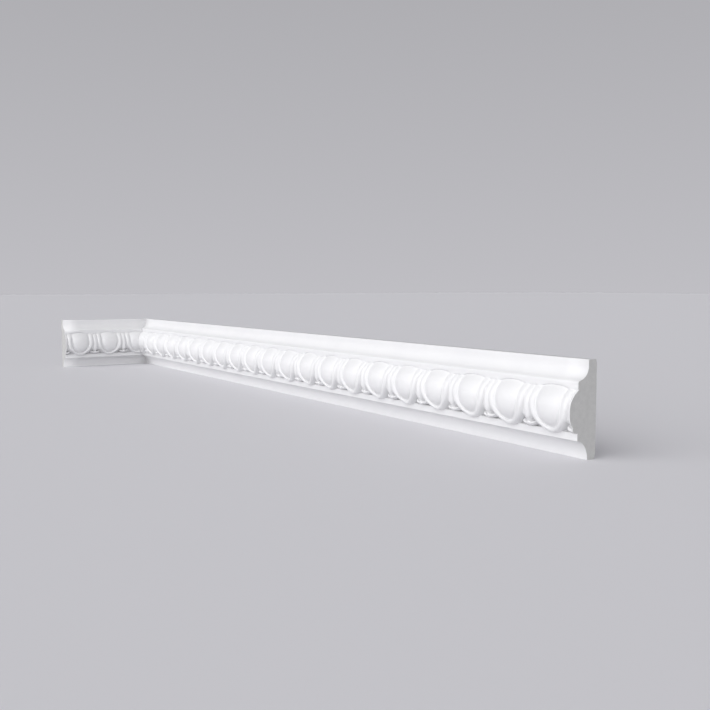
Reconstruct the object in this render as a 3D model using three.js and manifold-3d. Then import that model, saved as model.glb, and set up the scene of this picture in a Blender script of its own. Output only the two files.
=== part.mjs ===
// Egg-and-dart wall moulding turning an inside corner: one long length and one short return,
// mitred against each other and cut square at their free ends. Millimetres, +Z up.
//
// The long length runs along X, its back on the plane Y = 0 and its face towards -Y.
// The origin is the middle of that back, where the moulding is fixed to the wall.
// Depths are measured out from the wall, heights from the middle of the moulding.

import * as THREE from 'three';
import { mergeVertices } from 'three/addons/utils/BufferGeometryUtils.js';
import Module from 'manifold-3d';

const wasm = await Module();
wasm.setup();

// Lengths, each from the corner of the walls to the square cut
const longLength = 1055;
const returnLength = 155;
const mitreGap = 0.3; // between the two mitred faces

// Section, from the top edge down
const height = 80;
const projection = 31.6; // crown of the eggs, out from the wall
const edgeDepth = 9; // thickness of the top and bottom edges
const topLand = 5;
const upperCoveHeight = 11.3;
const filletDepth = 20.3; // face of both fillets, out from the wall
const upperFilletHeight = 7.2;
const upperFilletRounding = 2;
const lowerFilletHeight = 6.3;
const lowerCoveHeight = 15.6;
const bottomLand = 0.3;
const backChamferDepth = 1;
const backChamferHeight = 3.4;

// Ornament
const pitch = 50; // from egg to egg
const firstEgg = 30; // middle of the egg folded in the corner, from the corner of the walls
const rimSetback = 2; // rims and darts stay this far behind the crown of the eggs
const grooveFloorDepth = 26.6; // floor of the grooves at mid-band, out from the wall
const footDepth = 24.4; // darts and rims at the foot of the band, out from the wall
const upperSwell = 2.4; // power of the upper curve of the band, close to a round arc
const lowerSwell = 2.1;
const wallSink = 1; // an ornament's side walls start this far behind the groove floor
const embed = 4; // and its own back lies this much deeper in the body
const headIn = 1; // rims and stems run this far up into the upper fillet

// Heights that follow from the section
const top = height / 2;
const landFoot = top - topLand;
const coveFoot = landFoot - upperCoveHeight;
const bandTop = coveFoot - upperFilletHeight;
const lowerCoveTop = -top + bottomLand + lowerCoveHeight;
const bandFoot = lowerCoveTop + lowerFilletHeight;
const bandMiddle = (bandTop + bandFoot) / 2;
const bandHalf = (bandTop - bandFoot) / 2;

// Carving, as shares of the pitch across and of half the band up and down
const egg = {
  halfWidth: 0.24 * pitch,
  waist: bandMiddle + 0.27 * bandHalf, // height of the widest place
  rise: 0.8 * bandHalf, // from the waist up to the top
  fall: 1.085 * bandHalf, // from the waist down to the tip
  upperSquareness: 3.2, // power of the outline, 2 is an ellipse
  lowerSquareness: 2,
  fullness: 2.4, // power of the dome, 2 is a round one
};
const rim = {
  inside: 0.05 * pitch, // its edges, out from the egg's outline
  outside: 0.164 * pitch,
  edge: 0.02 * pitch,
  chin: 0.64, // share of its width and distance that it keeps round the tip of the egg
};
const stem = { foot: 0.045 * pitch, head: 0.02 * pitch, lowEnd: bandMiddle - 0.78 * bandHalf };
const barbs = {
  reach: 0.13 * pitch, // half of the span from tip to tip
  lift: 0.3 * bandHalf, // from the middle up to the tips
  middle: bandFoot + 0.1 * bandHalf,
  thickness: 0.11 * bandHalf,
};

// Facets
const coveFacets = 6;
const roundingFacets = 2; // round the upper fillet's edge
const floorFacets = 3;
const eggSides = 14;
const eggLevels = [0.6, 0.9]; // shares of the outline, between the crown and the edge
const rimFacets = 8; // round the tip of the egg
const sideFacets = 2; // up each straight side of the rim
const stemFacets = 4;
const barbFacets = 4;

// The front of the body behind the ornament at height z
function floorDepth(z) {
  const fromMiddle = Math.min(1, Math.abs(z - bandMiddle) / bandHalf);
  return grooveFloorDepth - (grooveFloorDepth - filletDepth) * fromMiddle ** 2;
}

// The front of rims and darts at height z, and the front of an egg further out
function crestDepth(z) {
  const fromMiddle = Math.abs(z - bandMiddle) / bandHalf;
  const front = projection - rimSetback;
  const drop = z > bandMiddle ? front - filletDepth : front - footDepth;
  return front - drop * fromMiddle ** (z > bandMiddle ? upperSwell : lowerSwell);
}

function eggDepth(z) {
  const headroom = egg.waist + egg.rise - bandMiddle;
  const drop = projection - filletDepth;
  if (z < bandMiddle) return crestDepth(z) + rimSetback;
  return projection - drop * ((z - bandMiddle) / headroom) ** upperSwell;
}

function bare(geometry) {
  geometry.deleteAttribute('normal');
  geometry.deleteAttribute('uv');
  return geometry;
}

// A closed geometry as a solid, with its faces turned outwards
function solid(geometry) {
  const merged = mergeVertices(bare(geometry), 1e-4);
  const triVerts = new Uint32Array(merged.index.array);
  const vertProperties = new Float32Array(merged.attributes.position.array);
  const made = new wasm.Manifold(new wasm.Mesh({ numProp: 3, vertProperties, triVerts }));
  if (made.volume() > 0) return made;
  for (let i = 0; i < triVerts.length; i += 3) triVerts.subarray(i, i + 2).reverse();
  return new wasm.Manifold(new wasm.Mesh({ numProp: 3, vertProperties, triVerts }));
}

function geometryOf(made) {
  const { vertProperties, triVerts } = made.getMesh();
  const geometry = new THREE.BufferGeometry();
  geometry.setAttribute('position', new THREE.BufferAttribute(vertProperties, 3));
  geometry.setIndex(new THREE.BufferAttribute(triVerts, 1));
  geometry.computeVertexNormals();
  return geometry;
}

// The plain body: the section drawn as depth and height, run from x = start to x = end
function body(start, end) {
  const section = new THREE.Shape();
  section.moveTo(0, top - backChamferHeight);
  section.lineTo(-backChamferDepth, top);
  section.lineTo(-edgeDepth, top);
  section.lineTo(-edgeDepth, landFoot);
  const upperReach = filletDepth - edgeDepth;
  for (let i = 1; i < coveFacets; i += 1) {
    const turn = (i / coveFacets) * (Math.PI / 2);
    section.lineTo(-filletDepth + upperReach * Math.cos(turn), landFoot - upperCoveHeight * Math.sin(turn));
  }
  for (let i = 0; i <= roundingFacets; i += 1) {
    const turn = (i / roundingFacets) * (Math.PI / 2);
    const inwards = upperFilletRounding * (1 - Math.sin(turn));
    section.lineTo(-filletDepth + inwards, coveFoot - upperFilletRounding * (1 - Math.cos(turn)));
  }
  for (let i = 0; i <= floorFacets; i += 1) {
    const z = bandTop - (i / floorFacets) * (bandTop - bandFoot);
    section.lineTo(-floorDepth(z), z);
  }
  for (let i = 0; i <= coveFacets; i += 1) {
    const turn = (1 - i / coveFacets) * (Math.PI / 2);
    section.lineTo(-filletDepth + upperReach * Math.cos(turn), lowerCoveTop - lowerCoveHeight * (1 - Math.sin(turn)));
  }
  section.lineTo(-edgeDepth, -top);
  section.lineTo(-backChamferDepth, -top);
  section.lineTo(0, -top + backChamferHeight);
  const geometry = new THREE.ExtrudeGeometry(section, { depth: end - start, bevelEnabled: false });
  const along = new THREE.Matrix4().makeBasis(
    new THREE.Vector3(0, 1, 0),
    new THREE.Vector3(0, 0, 1),
    new THREE.Vector3(1, 0, 0),
  );
  return solid(geometry.applyMatrix4(along).translate(start, 0, 0));
}

// An egg about x = 0: a dome over a squarish-topped oval, closed behind
function eggSolid() {
  const profile = [new THREE.Vector2(0, 1)];
  for (const share of eggLevels) {
    profile.push(new THREE.Vector2(share, (1 - share ** egg.fullness) ** (1 / egg.fullness)));
  }
  profile.push(new THREE.Vector2(1, 0), new THREE.Vector2(1, -1), new THREE.Vector2(0, -1));
  const geometry = bare(new THREE.LatheGeometry(profile, eggSides));
  const position = geometry.attributes.position;
  for (let i = 0; i < position.count; i += 1) {
    const across = position.getX(i);
    const up = position.getZ(i);
    const level = position.getY(i);
    const share = Math.hypot(across, up);
    const power = 2 / (up > 0 ? egg.upperSquareness : egg.lowerSquareness);
    const squared = (part) => (share > 0 ? Math.sign(part) * Math.abs(part / share) ** power * share : 0);
    const x = egg.halfWidth * squared(across);
    const z = egg.waist + (up > 0 ? egg.rise : egg.fall) * squared(up);
    const wallFoot = floorDepth(z) - wallSink;
    const depth = level < 0 ? wallFoot - embed : wallFoot + (eggDepth(z) - wallFoot) * level;
    position.setXYZ(i, x, -depth, z);
  }
  return geometry;
}

// A closed tube: place(t, k) gives corner k of the ring at t, from 0 to 1 along it
function tube(rings, corners, place) {
  const geometry = bare(new THREE.CylinderGeometry(1, 1, 1, corners, rings));
  const position = geometry.attributes.position;
  for (let i = 0; i < position.count; i += 1) {
    const t = 0.5 + position.getY(i);
    const turn = Math.atan2(position.getX(i), position.getZ(i)) / (2 * Math.PI);
    const k = (Math.round(turn * corners) + corners) % corners;
    const point = new THREE.Vector3();
    if (Math.hypot(position.getX(i), position.getZ(i)) > 0.5) point.copy(place(t, k));
    else for (let c = 0; c < corners; c += 1) point.addScaledVector(place(t, c), 1 / corners);
    position.setXYZ(i, point.x, point.y, point.z);
  }
  return geometry;
}

function onCrest(x, z, level) {
  const wallFoot = floorDepth(z) - wallSink;
  const depth = level < 0 ? wallFoot - embed : wallFoot + (crestDepth(z) - wallFoot) * level;
  return new THREE.Vector3(x, -depth, z);
}

// The raised rim that runs down one side of the egg, round its tip and up the other
function rimSolid() {
  const { inside, outside, edge } = rim;
  const corners = [[inside, -1], [inside + edge, 1], [outside - edge, 1], [outside, -1]];
  const rings = rimFacets + 2 * sideFacets;
  const rimTop = bandTop + headIn;
  return tube(rings, corners.length, (t, k) => {
    const [away, level] = corners[k];
    const step = Math.round(t * rings);
    const bend = Math.min(Math.max(step - sideFacets, 0), rimFacets) / rimFacets;
    const rise = Math.max(sideFacets - step, step - rings + sideFacets, 0) / sideFacets;
    const across = -Math.cos(bend * Math.PI) * (egg.halfWidth + away);
    const down = Math.sin(bend * Math.PI) * (egg.fall + rim.chin * away);
    return onCrest(across, egg.waist + rise * (rimTop - egg.waist) - down, level);
  });
}

// The dart's stem, widening downwards
function stemSolid() {
  const corners = [[-1, -1], [-0.4, 1], [0.4, 1], [1, -1]];
  return tube(stemFacets, corners.length, (t, k) => {
    const [side, level] = corners[k];
    const halfWidth = stem.foot + (stem.head - stem.foot) * t;
    return onCrest(side * halfWidth, stem.lowEnd + (bandTop + headIn - stem.lowEnd) * t, level);
  });
}

// The two upturned barbs at the foot of the dart, as one crescent
function barbsSolid() {
  const corners = [[-1, -1], [-0.5, 1], [0.5, 1], [1, -1]];
  return tube(barbFacets, corners.length, (t, k) => {
    const [side, level] = corners[k];
    const across = 2 * t - 1;
    const half = barbs.thickness * (1 - 0.5 * across * across);
    const z = barbs.middle + barbs.lift * across * across + side * half;
    return onCrest(across * barbs.reach, z, level);
  });
}

// The plan outline of a finished length: mitred at the corner, square at the far end
function lengthPrism(length, side) {
  const shift = mitreGap / Math.SQRT2;
  const behind = projection; // the prism stands clear of the moulding all round
  const before = -2 * projection;
  const plan = new THREE.Shape();
  plan.moveTo(side * (shift - behind), behind);
  plan.lineTo(side * (shift - before), before);
  plan.lineTo(side * length, before);
  plan.lineTo(side * length, behind);
  const geometry = new THREE.ExtrudeGeometry(plan, { depth: 2 * height, bevelEnabled: false });
  return solid(geometry.translate(0, 0, -height));
}

// One length of moulding, running from the wall corner at x = 0 towards +x or -x.
// The pattern is set out from the mitre, where an egg is folded in the corner.
function lengthOfMoulding(length, side) {
  const spare = projection; // cut off again at both ends
  const far = side * (length + spare);
  const near = -side * spare;
  let made = body(Math.min(near, far), Math.max(near, far));
  const repeat = [eggSolid(), rimSolid()];
  const dart = [stemSolid(), barbsSolid()].map((piece) => piece.translate(side * pitch / 2, 0, 0));
  for (let x = firstEgg; x < length + pitch; x += pitch) {
    for (const piece of [...repeat, ...dart]) {
      made = made.add(solid(piece.clone().translate(side * x, 0, 0)));
    }
  }
  return geometryOf(made.intersect(lengthPrism(length, side)));
}

const whiteFinish = () => new THREE.MeshStandardMaterial({ color: 0xf4f4f4, roughness: 0.5, metalness: 0 });

const longPiece = new THREE.Mesh(lengthOfMoulding(longLength, 1), whiteFinish());
longPiece.name = 'long_length';

const returnPiece = new THREE.Mesh(lengthOfMoulding(returnLength, -1), whiteFinish());
returnPiece.name = 'short_return';
returnPiece.rotation.z = Math.PI / 2;

const moulding = new THREE.Group();
moulding.add(longPiece, returnPiece);
moulding.position.x = -longLength / 2;

export default moulding;
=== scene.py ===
import math

import bmesh
import bpy
from mathutils import Matrix, Vector


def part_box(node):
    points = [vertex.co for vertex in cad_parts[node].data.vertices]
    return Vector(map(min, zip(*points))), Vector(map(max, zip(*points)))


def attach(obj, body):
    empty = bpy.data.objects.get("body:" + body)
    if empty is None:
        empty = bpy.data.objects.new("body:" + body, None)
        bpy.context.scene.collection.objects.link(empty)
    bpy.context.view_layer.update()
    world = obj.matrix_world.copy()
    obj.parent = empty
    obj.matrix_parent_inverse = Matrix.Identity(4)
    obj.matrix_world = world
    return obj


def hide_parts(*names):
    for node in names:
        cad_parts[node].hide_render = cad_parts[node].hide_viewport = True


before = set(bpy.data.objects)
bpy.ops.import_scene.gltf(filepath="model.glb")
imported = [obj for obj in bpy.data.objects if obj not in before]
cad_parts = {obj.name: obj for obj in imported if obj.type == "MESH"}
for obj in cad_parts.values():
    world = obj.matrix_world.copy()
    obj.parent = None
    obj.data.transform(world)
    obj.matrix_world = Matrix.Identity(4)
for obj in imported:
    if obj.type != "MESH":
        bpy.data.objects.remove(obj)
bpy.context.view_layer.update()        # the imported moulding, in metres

# White egg-and-dart wall moulding that turns an inside corner. Each length is one finely carved
# mesh in the place of its solid. Depths go out from the wall, heights from mid-height.

mm = 0.001
longLow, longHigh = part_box("long_length")
returnLow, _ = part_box("short_return")
wallCorner = Vector((returnLow.x, longHigh.y, 0.0))    # where the two walls meet, at mid-height

section = {
    "top": longHigh.z,
    "projection": 31.1 * mm,         # crown of the eggs
    "edgeDepth": 9.0 * mm,
    "topLand": 5.0 * mm,
    "upperCoveHeight": 11.3 * mm,
    "filletDepth": 20.3 * mm,
    "upperFilletHeight": 7.2 * mm,
    "upperRounding": 2.0 * mm,
    "roundingLead": 0.2 * mm,        # a line this far below it keeps the fillet flat
    "lowerFilletHeight": 6.3 * mm,
    "lowerCoveHeight": 15.6 * mm,
    "bottomLand": 0.3 * mm,
    "chamferDepth": 1.0 * mm,
    "chamferHeight": 3.4 * mm,
    "topEdge": 0.5 * mm,             # moulded edges are never quite sharp
    "lowerEdge": 0.35 * mm,
    "bottomEdge": 0.25 * mm,
    "edgeLead": 1.6,                 # the line before an edge is this many of its radii off the corner
    "coveSteps": 14,
    "roundingSteps": 4,
}

# Heights that follow from the section, as in the solids
landFoot = section["top"] - section["topLand"]
coveFoot = landFoot - section["upperCoveHeight"]
bandTop = coveFoot - section["upperFilletHeight"]
lowerCoveFoot = section["bottomLand"] - section["top"]
lowerCoveTop = lowerCoveFoot + section["lowerCoveHeight"]
bandFoot = lowerCoveTop + section["lowerFilletHeight"]
bandMiddle = (bandTop + bandFoot) / 2
bandHalf = (bandTop - bandFoot) / 2

carving = {
    "pitch": 50.0 * mm,              # from egg to egg
    "firstEgg": 30.0 * mm,           # middle of the egg folded in the corner
    "eggHalf": 12.8 * mm,
    "eggFall": 18.6 * mm,            # from the egg's waist down to its tip
    "waist": bandMiddle + 4.6 * mm,
    "eggFullness": (2.1, 0.54),      # powers of its cross-section, (2, 0.5) is round
    "rimInside": 2.1 * mm,           # edges of the rim, out from the egg's outline
    "rimOutside": 8.5 * mm,
    "rimFullness": (2.6, 0.65),
    "chinShare": 0.64,               # rim and grooves are narrower round the tip by this share
    "rimSetback": 1.2 * mm,          # rims stay behind the crown of the eggs
    "archRise": 2.1 * mm,            # the head of the egg cuts this far up into the fillet
    "archPower": 2.6,                # higher is flatter on top
    "innerGroove": 2.0 * mm,         # depths of the grooves at mid-height, below the rims
    "outerGroove": 3.2 * mm,
    "headGroove": 1.1 * mm,          # and of both at the head of the band
    "headEase": 1.5,                 # power by which they change on the way up to it
    "tipGroove": 0.6 * mm,           # the inner groove is this much deeper round the tip
    "pocketTop": -7.5 * mm,          # the outer grooves deepen from here
    "pocketFoot": -16.0 * mm,        # down to here
    "pocketDepth": 16.2 * mm,        # to this far out from the wall
    "pocketArris": 0.25 * mm,        # and come out to the lower fillet over twice this height
    "footDepth": 24.6 * mm,          # rims at the foot of the band
    "upperSwell": 2.4,               # powers by which the fronts fall back above and below mid-height
    "lowerSwell": 2.1,
    # rows above the carving: how far up, and the share of the groove's depth that is left there
    "headBlend": ((0.0, 1.0), (0.3 * mm, 0.45), (0.6 * mm, 0.12), (1.0 * mm, 0.0)),
    "footBlend": 0.4 * mm,           # the lower fillet is plain from this far below the last carved row
}

dart = {
    "setback": 0.6 * mm,             # behind the rims
    "headHalf": 2.9 * mm,            # half widths of the stem
    "footHalf": 4.0 * mm,
    "fullness": (2.0, 0.8),
    "stemEnd": bandFoot + 4.4 * mm,
    "stemRound": 3.4 * mm,           # length of its rounded end
    "neckHalf": 2.4 * mm,            # the neck that stem and barbs share
    "neckTop": bandFoot + 8.0 * mm,
    "neckFade": 1.2 * mm,            # height over which it ends at the foot of the band
    "neckFullness": (3.0, 1.0),
    "hollow": 1.1 * mm,              # how far it lies behind them
    "barbReach": 8.3 * mm,           # half the span of the two barbs
    "barbLift": 2.2 * mm,            # their tips are this much higher than their middle
    "barbMiddle": bandFoot + 2.1 * mm,
    "barbHalf": 2.15 * mm,           # half the thickness of a barb
    "barbTaper": 0.2,                # it is thinner at the tip by this share
    "barbFullness": (2.6, 0.55),     # across a barb
    "tipFullness": (5.0, 0.5),       # and along it
}

mesh = {
    "eggLines": 10,                  # lines across half an egg
    "innerGrooveLines": 5,
    "rimLines": 10,
    "dartLines": 20,                 # from the rim to the middle of the dart
    "sideRows": 11,                  # rows down the straight side of an egg
    "sideEase": 1.7,                 # power by which they crowd towards its head
    "tipRows": 26,                   # rows round to its tip
    "cornerRow": 12,                 # the row that turns off into the dart's foot
    "footRows": 15,                  # rows from there down to the foot of the band
    "footLead": 0.5 * mm,            # which they end this far above
    "filletSteps": (0.25, 0.1, 0.0, -0.1, -0.25, -1.2, -2.3, -3.4),    # the rows after them, in mm from it
    "gatherSplit": carving["pitch"] / 5,    # plain lines nearer the egg than this gather at its middle
    "halvings": 40,                  # steps that find how far a point is from the egg's outline
    "weld": 0.004 * mm,
    "cutMargin": 0.0005 * mm,        # corners this near a cut are taken to be on it
    "capCorners": 12,                # only the cut faces have more
    "backFacing": 0.9,               # faces that look at the wall by more than this are the back
}


halfPitch = carving["pitch"] / 2


def smoothStep(low, high, value):
    share = min(1.0, max(0.0, (value - low) / (high - low)))
    return share * share * (3 - 2 * share)


def dome(share, fullness):
    # 1 in the middle and 0 at the edge. The first power fills it out, the second steepens its edge
    return max(0.0, 1 - min(1.0, abs(share)) ** fullness[0]) ** fullness[1]


def crestDepth(z):
    # front of the rims at height z
    front = section["projection"] - carving["rimSetback"]
    away = min(1.0, abs(z - bandMiddle) / bandHalf)
    if z > bandMiddle:
        return front - (front - section["filletDepth"]) * away ** carving["upperSwell"]
    return front - (front - carving["footDepth"]) * away ** carving["lowerSwell"]


def grooveDepth(z, groove):
    # floor of a groove that is this deep at mid-height
    rise = min(1.0, max(0.0, (z - bandMiddle) / bandHalf))
    return crestDepth(z) - groove - (carving["headGroove"] - groove) * rise ** carving["headEase"]


def outerDepth(z):
    # floor of the outer grooves, which end in pockets above the lower fillet
    floor = grooveDepth(z, carving["outerGroove"])
    floor += (carving["pocketDepth"] - floor) * smoothStep(carving["pocketTop"], carving["pocketFoot"], z)
    arris = carving["pocketArris"]
    return floor + (section["filletDepth"] - floor) * smoothStep(bandFoot + arris, bandFoot - arris, z)


def outlinePoint(share, offset, turn):
    # a point on the egg's outline, on a smaller one inside it, or at an offset around it
    if share < 1:
        wide, tall = share * carving["eggHalf"], share * carving["eggFall"]
    else:
        wide = carving["eggHalf"] + offset
        tall = carving["eggFall"] + carving["chinShare"] * offset
    return wide * math.cos(turn), carving["waist"] - tall * math.sin(turn)


def outlinePlace(u, z):
    # the share of the outline that u, z lies on, and its offset beyond the outline
    down = max(0.0, carving["waist"] - z)
    share = math.hypot(u / carving["eggHalf"], down / carving["eggFall"])
    if share <= 1:
        return share, 0.0
    near, far = 0.0, carving["pitch"]
    for _ in range(mesh["halvings"]):
        offset = (near + far) / 2
        wide = u / (carving["eggHalf"] + offset)
        tall = down / (carving["eggFall"] + carving["chinShare"] * offset)
        if math.hypot(wide, tall) > 1:
            near = offset
        else:
            far = offset
    return 1.0, far


def bandHead(u):
    # upper edge of the carving: an arch over the egg, straight over the rims and darts
    reach = carving["eggHalf"] + carving["rimInside"]
    return bandTop + carving["archRise"] * max(0.0, 1 - abs(u / reach) ** carving["archPower"])


def eggFront(u, z):
    # the egg's own ridge line, sunk below the fillet at its head
    if z < bandMiddle:
        return crestDepth(z) + carving["rimSetback"]
    sunk = section["filletDepth"] - carving["headGroove"]
    rise = (z - bandMiddle) / (bandHead(u) - bandMiddle)
    return section["projection"] - (section["projection"] - sunk) * rise ** carving["upperSwell"]


def dartDepth(u, z, floor):
    # a stem with a rounded end, over two barbs that curl up on either side
    away = halfPitch - u
    crest = crestDepth(z) - dart["setback"]
    run = min(1.0, max(0.0, (bandTop - z) / (bandTop - dart["stemEnd"])))
    half = dart["headHalf"] + (dart["footHalf"] - dart["headHalf"]) * run
    past = max(0.0, (dart["stemEnd"] + dart["stemRound"] - z) / dart["stemRound"])
    stem = dome(math.hypot(away / half, past), dart["fullness"])
    neck = dome(away / dart["neckHalf"], dart["neckFullness"])
    neck *= smoothStep(dart["neckTop"], dart["stemEnd"], z)
    neck *= smoothStep(bandFoot, bandFoot + dart["neckFade"], z)
    across = min(1.0, away / dart["barbReach"])
    middle = dart["barbMiddle"] + dart["barbLift"] * across ** 2
    thick = dart["barbHalf"] * (1 - dart["barbTaper"] * across)
    barb = dome((z - middle) / thick, dart["barbFullness"])
    barb *= dome(away / dart["barbReach"], dart["tipFullness"])
    base = floor + max(0.0, crest - dart["hollow"] - floor) * neck
    return base + max(0.0, crest - base) * max(stem, barb)


def carvedDepth(u, z):
    share, offset = outlinePlace(u, z)
    inner = grooveDepth(z, carving["innerGroove"])
    inner -= carving["tipGroove"] * smoothStep(carving["pocketTop"], carving["pocketFoot"], z)
    if share < 1:
        return inner + (eggFront(u, z) - inner) * dome(share, carving["eggFullness"])
    outer = outerDepth(z)
    inside, outside = carving["rimInside"], carving["rimOutside"]
    middle = (inside + outside) / 2
    floor = inner + (outer - inner) * smoothStep(middle, outside, offset)
    rim = dome((offset - middle) / (outside - middle), carving["rimFullness"])
    depth = floor + (crestDepth(z) - floor) * rim
    return max(depth, dartDepth(u, z, outer))


# A half repeat, from the middle of an egg (u = 0) to the middle of a dart (u = half the pitch),
# is made of patches whose lines follow the egg's outline. Each patch is a grid moved into place.

def spread(count, start, end):
    return [start + (end - start) * i / count for i in range(count + 1)]


ringLines = [(math.sin(turn), 0.0) for turn in spread(mesh["eggLines"], 0, math.pi / 2)]
ringLines += [(1.0, offset) for offset in spread(mesh["innerGrooveLines"], 0, carving["rimInside"])[1:]]
rimWidth = carving["rimOutside"] - carving["rimInside"]
for turn in spread(mesh["rimLines"], 0, math.pi)[1:]:
    ringLines.append((1.0, carving["rimInside"] + rimWidth * (1 - math.cos(turn)) / 2))
dartShares = spread(mesh["dartLines"], 0, 1)
sideShares = [share ** mesh["sideEase"] for share in spread(mesh["sideRows"], 0, 1)]
ringRows = mesh["sideRows"] + mesh["tipRows"]
cornerRow = mesh["sideRows"] + mesh["cornerRow"]
outerLine = len(ringLines) - 1


def ringPoint(line, row):
    # u, z where a line around the egg meets a row, counted from the head down to the tip
    share, offset = ringLines[line]
    if row < mesh["sideRows"]:
        u, waist = outlinePoint(share, offset, 0)
        head = bandHead(u)
        return u, head + (waist - head) * sideShares[row]
    return outlinePoint(share, offset, math.pi / 2 * (row - mesh["sideRows"]) / mesh["tipRows"])


cornerU, cornerZ = ringPoint(outerLine, cornerRow)
footHeights = spread(mesh["footRows"], cornerZ, bandFoot + mesh["footLead"])
footHeights += [bandFoot + step * mm for step in mesh["filletSteps"]]


def sidePoint(line, row):
    u, z = ringPoint(outerLine, row)
    return u + (halfPitch - u) * dartShares[line], z


def footPoint(line, row):
    return cornerU + (halfPitch - cornerU) * dartShares[line], footHeights[row]


def chinPoint(line, row):
    # level rows that stop where they meet the outer edge of the rim
    u, z = ringPoint(outerLine, cornerRow + line)
    return u, min(z, footHeights[row])


def headColumns():
    across = [ringPoint(line, 0)[0] for line in range(len(ringLines))]
    return across + [sidePoint(line, 0)[0] for line in range(1, mesh["dartLines"] + 1)]


def footColumns():
    across = [chinPoint(line, 0)[0] for line in range(ringRows - cornerRow, -1, -1)]
    return across + [footPoint(line, 0)[0] for line in range(1, mesh["dartLines"] + 1)]


def arc(centre, reach, start, end, steps):
    # depths and heights on an ellipse, from and to angles in quarter turns up from straight out
    turns = spread(steps, start * math.pi / 2, end * math.pi / 2)
    return [(centre[0] + reach[0] * math.cos(t), centre[1] + reach[1] * math.sin(t)) for t in turns]


def upperProfile():
    # depth and height from above the carving, over the top edge and a little down the back
    rounding, edge, fillet = section["upperRounding"], section["topEdge"], section["filletDepth"]
    coveReach = (section["edgeDepth"] - fillet, -section["upperCoveHeight"])
    steps = section["roundingSteps"]
    points = [(fillet, coveFoot - rounding - section["roundingLead"])]
    points += arc((fillet - rounding, coveFoot - rounding), (rounding, rounding), 0, 1, steps)
    cove = arc((fillet, landFoot), coveReach, 1, 0, section["coveSteps"])
    points += [point for point in cove if point[0] < fillet - rounding]
    points.append((section["edgeDepth"], section["top"] - edge * section["edgeLead"]))
    points += arc((section["edgeDepth"] - edge, section["top"] - edge), (edge, edge), 0, 1, steps)
    points.append((section["chamferDepth"], section["top"]))
    points.append((0.0, section["top"] - section["chamferHeight"]))
    return points


def lowerProfile():
    # the same from below the carving, over the bottom edge and a little up the back
    edge, bottomEdge, fillet = section["lowerEdge"], section["bottomEdge"], section["filletDepth"]
    coveReach = (section["edgeDepth"] - fillet, section["lowerCoveHeight"])
    steps = section["roundingSteps"]
    points = [(fillet, lowerCoveTop + edge * section["edgeLead"])]
    points += arc((fillet - edge, lowerCoveTop + edge), (edge, edge), 0, -1, steps)
    cove = arc((fillet, lowerCoveFoot), coveReach, 1, 0, section["coveSteps"])
    points += [point for point in cove if point[0] < fillet - edge]
    corner = (section["edgeDepth"] - bottomEdge, bottomEdge - section["top"])
    points += arc(corner, (bottomEdge, bottomEdge), 0, -1, steps)
    points.append((section["chamferDepth"], -section["top"]))
    points.append((0.0, section["chamferHeight"] - section["top"]))
    return points


def addPatch(bm, columns, rows, place):
    # a grid 1 m square, whose corners are moved to place(column, row), given as u, depth and height
    half = 0.5
    made = bmesh.ops.create_grid(bm, x_segments=columns, y_segments=rows, size=half)
    for vert in made["verts"]:
        column = round((vert.co.x + half) * columns)
        row = round((vert.co.y + half) * rows)
        u, depth, z = place(column, row)
        vert.co = (u, -depth, z)


def addCarved(bm, columns, rows, point):
    def place(column, row):
        u, z = point(column, row)
        return u, carvedDepth(u, z), z
    addPatch(bm, columns, rows, place)


def addPlain(bm, across, firstRows, profile):
    # the plain run above or below the carving. Past the first rows nothing changes along the run,
    # so there the lines gather at the middle of the egg and of the dart
    def place(column, row):
        u = across[column]
        if row < len(firstRows):
            depth, z = firstRows[row](u)
            return u, depth, z
        depth, z = profile[row - len(firstRows)]
        return (0.0 if u < mesh["gatherSplit"] else halfPitch), depth, z
    addPatch(bm, len(across) - 1, len(firstRows) + len(profile) - 1, place)


def halfRepeat():
    bm = bmesh.new()
    addCarved(bm, outerLine, ringRows, ringPoint)
    addCarved(bm, mesh["dartLines"], cornerRow, sidePoint)
    addCarved(bm, mesh["dartLines"], len(footHeights) - 1, footPoint)
    addCarved(bm, ringRows - cornerRow, len(footHeights) - 1, chinPoint)
    fillet = section["filletDepth"]

    def headRow(rise, left):
        # a row this far above the carving, with this share of the groove's depth left
        def place(u):
            head = bandHead(u)
            return fillet - (fillet - carvedDepth(u, head)) * left, head + rise
        return place

    headRows = [headRow(rise, left) for rise, left in carving["headBlend"]]
    footRows = [
        lambda u: (carvedDepth(u, footHeights[-1]), footHeights[-1]),
        lambda u: (fillet, footHeights[-1] - carving["footBlend"]),
    ]
    addPlain(bm, headColumns(), headRows, upperProfile())
    addPlain(bm, footColumns(), footRows, lowerProfile())
    backHeights = [section["chamferHeight"] - section["top"], section["top"] - section["chamferHeight"]]
    addPatch(bm, 1, 1, lambda column, row: (column * halfPitch, 0.0, backHeights[row]))
    bmesh.ops.remove_doubles(bm, verts=bm.verts, dist=mesh["weld"])
    return bm


mitre = {
    "gap": 0.02 * mm,                # the real mitre is glued, so hardly a line shows
}


def everything(bm):
    return bm.verts[:] + bm.edges[:] + bm.faces[:]


def onPlane(edge, point, outward):
    if not edge.is_boundary:
        return False
    return all(abs((vert.co - point).dot(outward)) < mesh["weld"] for vert in edge.verts)


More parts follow.
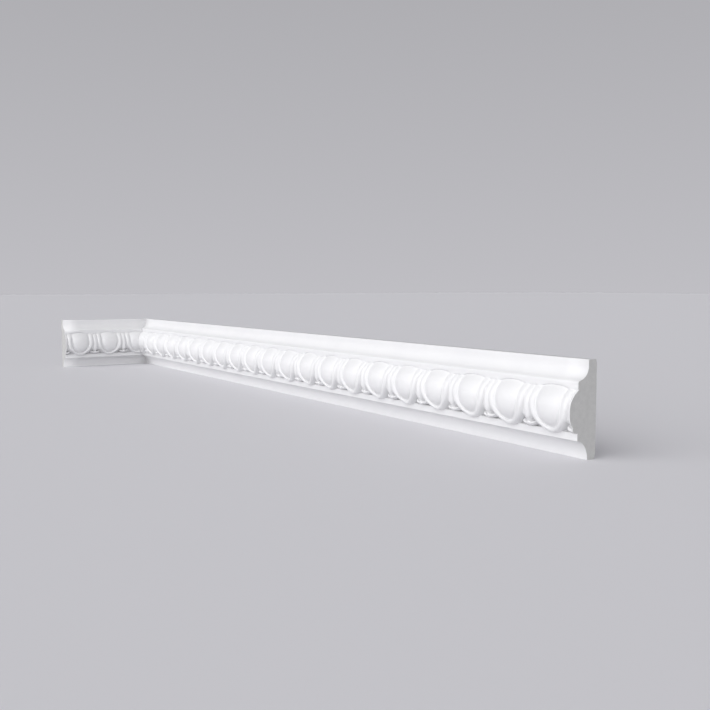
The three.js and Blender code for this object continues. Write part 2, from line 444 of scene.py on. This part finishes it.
def carvedRun(length):
    # a run along X from the wall corner at x = 0, mitred there and cut square at x = length
    bm = halfRepeat()
    bmesh.ops.mirror(bm, geom=everything(bm), axis="X", merge_dist=mesh["weld"])
    bmesh.ops.translate(bm, verts=bm.verts, vec=(carving["firstEgg"] - carving["pitch"], 0, 0))
    oneRepeat = everything(bm)
    startBefore = 1.5                # pitches from here, before it is cut, to the first egg's middle
    repeats = math.ceil((length - carving["firstEgg"]) / carving["pitch"] + startBefore)
    for number in range(1, repeats):
        made = bmesh.ops.duplicate(bm, geom=oneRepeat)["geom"]
        copied = [item for item in made if isinstance(item, bmesh.types.BMVert)]
        bmesh.ops.translate(bm, verts=copied, vec=(number * carving["pitch"], 0, 0))
    bmesh.ops.remove_doubles(bm, verts=bm.verts, dist=mesh["weld"])
    cuts = [
        (Vector((mitre["gap"], 0, 0)), Vector((-1, -1, 0)).normalized()),
        (Vector((length, 0, 0)), Vector((1, 0, 0))),
    ]
    for point, outward in cuts:
        bmesh.ops.bisect_plane(
            bm, geom=everything(bm), dist=mesh["cutMargin"],
            plane_co=point, plane_no=outward, clear_outer=True,
        )
        cutEdges = [edge for edge in bm.edges if onPlane(edge, point, outward)]
        bmesh.ops.holes_fill(bm, edges=cutEdges, sides=0)
    return bm


def finishPiece(bm, name, place, materials, node):
    # materials are those of the face, the cuts and the back
    bmesh.ops.recalc_face_normals(bm, faces=bm.faces)
    for face in bm.faces:
        isCut = len(face.verts) > mesh["capCorners"]
        isBack = not isCut and face.normal.y > mesh["backFacing"]
        face.smooth = not (isCut or isBack)
        if isCut:
            face.material_index = 1
        elif isBack:
            face.material_index = 2
    bm.transform(place)
    bmesh.ops.recalc_face_normals(bm, faces=bm.faces)
    openEdges = sum(not edge.is_manifold for edge in bm.edges)
    triangles = sum(len(face.verts) - 2 for face in bm.faces)
    print(name, "triangles", triangles, "open edges", openEdges)
    data = bpy.data.meshes.new(name)
    bm.to_mesh(data)
    bm.free()
    for material in materials:
        data.materials.append(material)
    piece = bpy.data.objects.new(name, data)
    bpy.context.collection.objects.link(piece)
    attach(piece, "root")
    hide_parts(node)


# Shared effects, as shader node groups

def newGroup(name, inputs, outputs):
    group = bpy.data.node_groups.new(name, "ShaderNodeTree")
    for label, kind, value in inputs:
        socket = group.interface.new_socket(name=label, in_out="INPUT", socket_type=kind)
        socket.default_value = value
    for label, kind in outputs:
        group.interface.new_socket(name=label, in_out="OUTPUT", socket_type=kind)
    start = group.nodes.new("NodeGroupInput")
    end = group.nodes.new("NodeGroupOutput")
    return group, start, end


def addNode(tree, kind, links=(), **settings):
    # a node with its settings, and its inputs linked or set as (input, value or source socket)
    node = tree.nodes.new(kind)
    for setting, value in settings.items():
        setattr(node, setting, value)
    for label, value in links:
        if isinstance(value, bpy.types.NodeSocket):
            tree.links.new(value, node.inputs[label])
        else:
            node.inputs[label].default_value = value
    return node


def mixColours(tree, share, first, second):
    # a colour mix has its share at input 0, its colours at 6 and 7, and its result at output 2
    mix = addNode(tree, "ShaderNodeMix", [(0, share), (6, first), (7, second)], data_type="RGBA")
    return mix.outputs[2]


def scaleFor(tree, size):
    # the noise scale that gives features of this size
    return addNode(tree, "ShaderNodeMath", [(0, 1.0), (1, size)], operation="DIVIDE").outputs[0]


blotchNoise = {
    "detail": 4.0,
    "roughness": 0.55,
    "clear": 0.38,                   # noise level up to which nothing shows
    "full": 0.66,
}


def softBlotches():
    # slow, faint patches, as a coat of paint or a casting skin has
    inputs = [
        ("Colour", "NodeSocketColor", (0.8, 0.8, 0.8, 1)),
        ("Blotch Colour", "NodeSocketColor", (0.7, 0.7, 0.7, 1)),
        ("Blotch Size", "NodeSocketFloat", 0.02),
        ("Amount", "NodeSocketFloat", 0.5),
    ]
    outputs = [("Colour", "NodeSocketColor"), ("Mask", "NodeSocketFloat")]
    group, start, end = newGroup("softBlotches", inputs, outputs)
    place = addNode(group, "ShaderNodeTexCoord")
    noise = addNode(group, "ShaderNodeTexNoise", [
        ("Vector", place.outputs["Object"]),
        ("Scale", scaleFor(group, start.outputs["Blotch Size"])),
        ("Detail", blotchNoise["detail"]),
        ("Roughness", blotchNoise["roughness"]),
    ])
    level = addNode(group, "ShaderNodeMapRange", [
        ("Value", noise.outputs["Fac"]),
        ("From Min", blotchNoise["clear"]),
        ("From Max", blotchNoise["full"]),
        ("To Max", start.outputs["Amount"]),
    ])
    mask = level.outputs["Result"]
    mixed = mixColours(group, mask, start.outputs["Colour"], start.outputs["Blotch Colour"])
    group.links.new(mixed, end.inputs["Colour"])
    group.links.new(mask, end.inputs["Mask"])
    return group


def fineGrain():
    # height of a fine grain over a slow unevenness
    inputs = [
        ("Grain Size", "NodeSocketFloat", 0.0006),
        ("Wave Size", "NodeSocketFloat", 0.009),
        ("Wave Share", "NodeSocketFloat", 0.5),
    ]
    group, start, end = newGroup("fineGrain", inputs, [("Height", "NodeSocketFloat")])
    place = addNode(group, "ShaderNodeTexCoord")
    heights = []
    for label, detail in (("Grain Size", 3.0), ("Wave Size", 1.0)):
        scale = scaleFor(group, start.outputs[label])
        noise = addNode(group, "ShaderNodeTexNoise", [
            ("Vector", place.outputs["Object"]), ("Scale", scale), ("Detail", detail)])
        heights.append(noise.outputs["Fac"])
    grain, wave = heights
    both = addNode(group, "ShaderNodeMath", [
        (0, wave), (1, start.outputs["Wave Share"]), (2, grain)], operation="MULTIPLY_ADD")
    group.links.new(both.outputs[0], end.inputs["Height"])
    return group


blotchGroup = softBlotches()
grainGroup = fineGrain()
print("shader groups made")

bumpHeight = 0.0002                  # what a full bump stands for, on every finish


def newMaterial(name):
    material = bpy.data.materials.new(name)
    material.use_nodes = True
    return material, material.node_tree, material.node_tree.nodes["Principled BSDF"]


def useGroup(tree, group, values):
    node = tree.nodes.new("ShaderNodeGroup")
    node.node_tree = group
    for label, value in values.items():
        node.inputs[label].default_value = value
    return node


def linkBump(tree, shader, height, strength):
    bump = addNode(tree, "ShaderNodeBump", [
        ("Height", height), ("Strength", strength), ("Distance", bumpHeight)])
    tree.links.new(bump.outputs["Normal"], shader.inputs["Normal"])


paint = {
    "colour": (0.80, 0.80, 0.805, 1),
    "blotch": (0.765, 0.765, 0.775, 1),
    "blotchSize": 0.045,
    "blotchAmount": 0.6,
    "grainSize": 0.0007,
    "waveSize": 0.012,
    "waveShare": 0.8,                # how much the waves count beside the grain
    "roughLow": 0.42,
    "roughHigh": 0.54,
    "bump": 0.12,
}


def whitePaint():
    # smooth factory-primed white with a soft satin sheen
    material, tree, shader = newMaterial("whitePaint")
    blotches = useGroup(tree, blotchGroup, {
        "Colour": paint["colour"],
        "Blotch Colour": paint["blotch"],
        "Blotch Size": paint["blotchSize"],
        "Amount": paint["blotchAmount"],
    })
    grain = useGroup(tree, grainGroup, {
        "Grain Size": paint["grainSize"],
        "Wave Size": paint["waveSize"],
        "Wave Share": paint["waveShare"],
    })
    rough = addNode(tree, "ShaderNodeMapRange", [
        ("Value", blotches.outputs["Mask"]), ("To Min", paint["roughLow"]), ("To Max", paint["roughHigh"])])
    tree.links.new(blotches.outputs["Colour"], shader.inputs["Base Color"])
    tree.links.new(rough.outputs["Result"], shader.inputs["Roughness"])
    linkBump(tree, shader, grain.outputs["Height"], paint["bump"])
    return material


cutFace = {
    "colour": (0.55, 0.55, 0.54, 1),
    # this dark grey is the painted shade in the cells' pits, and also the colour of the faint blotches
    "cell": (0.47, 0.47, 0.465, 1),
    "cellSize": 0.0006,
    "cellMiddle": 0.1,               # the painted shade in a cell's pit is darkest up to this far from its middle, in cells
    "cellEdge": 0.6,                 # and not dark from here on
    "pitShadeAmount": 0.5,
    "blotchSize": 0.004,
    "blotchAmount": 0.5,
    "roughness": 0.9,
    "bump": 0.35,
}


def cutFoam():
    # the bare core where a length is sawn through: fine closed cells, each darkened towards its middle as
    # painted shade in its pit
    material, tree, shader = newMaterial("cutFoam")
    place = addNode(tree, "ShaderNodeTexCoord")
    cells = addNode(tree, "ShaderNodeTexVoronoi", [
        ("Vector", place.outputs["Object"]), ("Scale", 1 / cutFace["cellSize"])])
    blotches = useGroup(tree, blotchGroup, {
        "Colour": cutFace["colour"],
        "Blotch Colour": cutFace["cell"],
        "Blotch Size": cutFace["blotchSize"],
        "Amount": cutFace["blotchAmount"],
    })
    # painted shade: each cell is darker towards its middle, where the bump sinks a pit
    shade = addNode(tree, "ShaderNodeMapRange", [
        ("Value", cells.outputs["Distance"]),
        ("From Min", cutFace["cellMiddle"]),
        ("From Max", cutFace["cellEdge"]),
        ("To Min", cutFace["pitShadeAmount"]),
        ("To Max", 0.0),
    ])
    mixed = mixColours(tree, shade.outputs["Result"], blotches.outputs["Colour"], cutFace["cell"])
    tree.links.new(mixed, shader.inputs["Base Color"])
    shader.inputs["Roughness"].default_value = cutFace["roughness"]
    linkBump(tree, shader, cells.outputs["Distance"], cutFace["bump"])
    return material


backFace = {
    "colour": (0.66, 0.66, 0.65, 1),
    "streak": (0.58, 0.58, 0.57, 1),
    "streakScale": (6, 6, 900),      # so they are long and low
    "streakDetail": 3.0,
    "clear": 0.35,                   # noise level up to which no streak shows
    "full": 0.7,
    "roughness": 0.8,
    "bump": 0.3,
}


def rawBack():
    # the unpainted back, drawn through a die and so lightly streaked along its length
    material, tree, shader = newMaterial("rawBack")
    place = addNode(tree, "ShaderNodeTexCoord")
    stretch = addNode(tree, "ShaderNodeMapping", [
        ("Vector", place.outputs["Object"]), ("Scale", backFace["streakScale"])])
    streaks = addNode(tree, "ShaderNodeTexNoise", [
        ("Vector", stretch.outputs["Vector"]), ("Scale", 1.0), ("Detail", backFace["streakDetail"])])
    level = addNode(tree, "ShaderNodeMapRange", [
        ("Value", streaks.outputs["Fac"]), ("From Min", backFace["clear"]), ("From Max", backFace["full"])])
    mixed = mixColours(tree, level.outputs["Result"], backFace["colour"], backFace["streak"])
    tree.links.new(mixed, shader.inputs["Base Color"])
    shader.inputs["Roughness"].default_value = backFace["roughness"]
    linkBump(tree, shader, streaks.outputs["Fac"], backFace["bump"])
    return material


materials = [whitePaint(), cutFoam(), rawBack()]
print("materials made")

# The long length runs along X from the corner, and the short return stands square to it
longLength = longHigh.x - wallCorner.x
returnLength = wallCorner.y - returnLow.y
along = Matrix.Translation(wallCorner)
across = along @ Matrix.Rotation(math.pi / 2, 4, "Z") @ Matrix.Scale(-1, 4, (1, 0, 0))
finishPiece(carvedRun(longLength), "carvedLongLength", along, materials, "long_length")
finishPiece(carvedRun(returnLength), "carvedShortReturn", across, materials, "short_return")
print("both lengths carved")

view = {
    "place": (1.00824, -0.53095, 0.09719),
    "azimuth": 57.681,               # turned left from looking straight at the wall
    "tilt": -4.467,
    "lens": 44.348,
    "sensor": 36.0,
    "nearest": 0.01,                 # nothing nearer than this is drawn
}


def addCamera():
    camera = bpy.data.cameras.new("camera")
    camera.lens = view["lens"]
    camera.sensor_width = view["sensor"]
    camera.clip_start = view["nearest"]
    holder = bpy.data.objects.new("camera", camera)
    holder.location = view["place"]
    holder.rotation_euler = (math.radians(90 + view["tilt"]), 0, math.radians(view["azimuth"]))
    bpy.context.collection.objects.link(holder)
    bpy.context.scene.camera = holder


studio = {
    "floorSize": 30.0,
    "floorColour": (0.69, 0.685, 0.71, 1),
    "floorRoughness": 0.9,
    "floorShine": 0.2,
    "horizonColour": (0.52, 0.515, 0.545, 1),
    "zenithColour": (0.31, 0.31, 0.325, 1),
    "zenithHeight": 0.7,             # sine of the angle above the horizon where that is reached
    "keyFrom": (1.5, -4.4, 1.9),     # where the light comes from, seen from the moulding
    "keyAngle": 100.0,               # how large it looks, and so how soft its shadows are
    "keyStrength": 3.25,
}


def addFloor():
    bm = bmesh.new()
    bmesh.ops.create_grid(bm, x_segments=1, y_segments=1, size=studio["floorSize"] / 2)
    bmesh.ops.translate(bm, verts=bm.verts, vec=(0, 0, longLow.z))
    data = bpy.data.meshes.new("floor")
    bm.to_mesh(data)
    bm.free()
    material, _, shader = newMaterial("paleFloor")
    shader.inputs["Base Color"].default_value = studio["floorColour"]
    shader.inputs["Roughness"].default_value = studio["floorRoughness"]
    shader.inputs["Specular IOR Level"].default_value = studio["floorShine"]
    data.materials.append(material)
    floor = bpy.data.objects.new("floor", data)
    bpy.context.collection.objects.link(floor)


def addKeyLight():
    light = bpy.data.lights.new("keyLight", "SUN")
    light.angle = math.radians(studio["keyAngle"])
    light.energy = studio["keyStrength"]
    holder = bpy.data.objects.new("keyLight", light)
    holder.location = studio["keyFrom"]
    holder.rotation_euler = (-holder.location).to_track_quat("-Z", "Y").to_euler()
    bpy.context.collection.objects.link(holder)


def addWorld():
    # a pale room with a darker ceiling
    world = bpy.data.worlds.new("studio")
    world.use_nodes = True
    tree = world.node_tree
    place = addNode(tree, "ShaderNodeTexCoord")
    parts = addNode(tree, "ShaderNodeSeparateXYZ", [("Vector", place.outputs["Generated"])])
    height = addNode(tree, "ShaderNodeMapRange", [
        ("Value", parts.outputs["Z"]), ("From Max", studio["zenithHeight"])])
    mixed = mixColours(tree, height.outputs["Result"], studio["horizonColour"], studio["zenithColour"])
    tree.links.new(mixed, tree.nodes["Background"].inputs["Color"])
    bpy.context.scene.world = world


addCamera()
addFloor()
addKeyLight()
addWorld()
bpy.context.scene.view_settings.view_transform = "Standard"
print("studio set")
